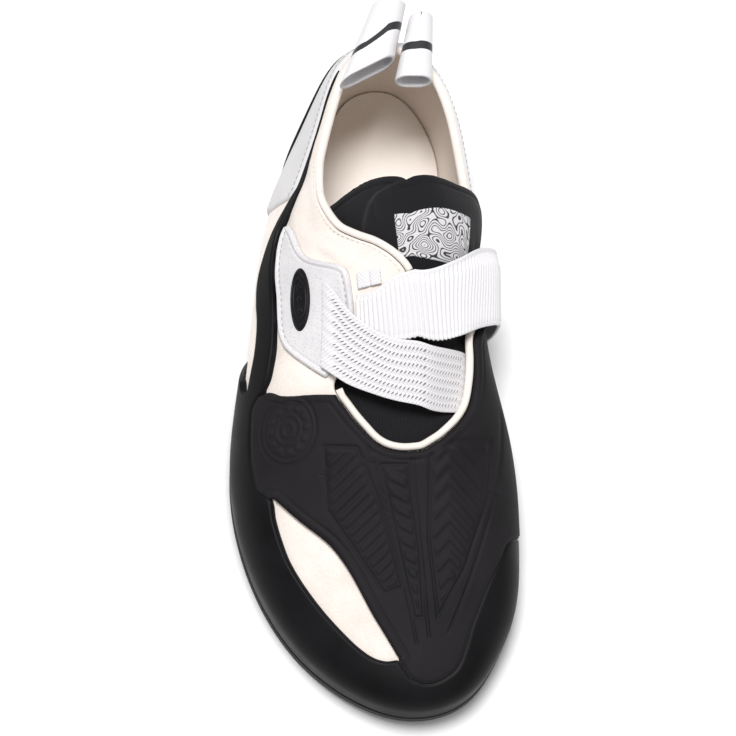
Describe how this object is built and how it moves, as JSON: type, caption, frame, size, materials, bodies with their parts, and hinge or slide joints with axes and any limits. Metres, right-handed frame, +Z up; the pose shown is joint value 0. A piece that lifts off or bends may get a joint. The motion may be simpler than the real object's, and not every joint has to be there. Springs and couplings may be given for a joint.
{
  "type": "climbing shoe",
  "caption": "Low asymmetric rock climbing shoe with a rubber rand, a toe patch, two overlapping instep straps, an open collar and heel pull loops.",
  "frame": {"origin": "on the floor under the flat spot of the sole below the ball of the foot, on the line between the rearmost heel and the toe", "axes": "+Z up, +Y towards the heel, -Y towards the toe, +X towards the inner (medial) side, -X towards the outer (lateral) side"},
  "size_m": [0.1019, 0.2524, 0.0898],
  "materials": {
    "sole_rubber": "smooth matte black climbing rubber",
    "patch_rubber": "matte charcoal rubber with a raised pattern",
    "cream_fabric": "off-white soft microfibre",
    "grey_synthetic": "pale grey synthetic leather, finely grained",
    "strip_webbing": "pale grey woven webbing",
    "black_textile": "black padded textile",
    "beige_lining": "beige lining cloth",
    "label_cloth": "pale grey woven label cloth"
  },
  "bodies": {
    "root": {"outsole": "sole_rubber", "insole": "beige_lining", "upper": "cream_fabric", "tongue": "black_textile", "tongue_label": "label_cloth", "toe_rand": "sole_rubber", "slingshot_band": "sole_rubber", "toe_patch": "patch_rubber", "heel_cap": "sole_rubber", "heel_panel": "grey_synthetic", "strap_tab": "grey_synthetic", "strap_anchor": "strip_webbing", "strap_ribbed": "strip_webbing", "strap_woven": "strip_webbing", "strap_keeper": "grey_synthetic", "collar_binding": "cream_fabric", "flap_binding": "cream_fabric", "throat_binding": "cream_fabric", "pull_loop_lateral": "strip_webbing", "pull_loop_medial": "strip_webbing"}
  },
  "joints": []
}
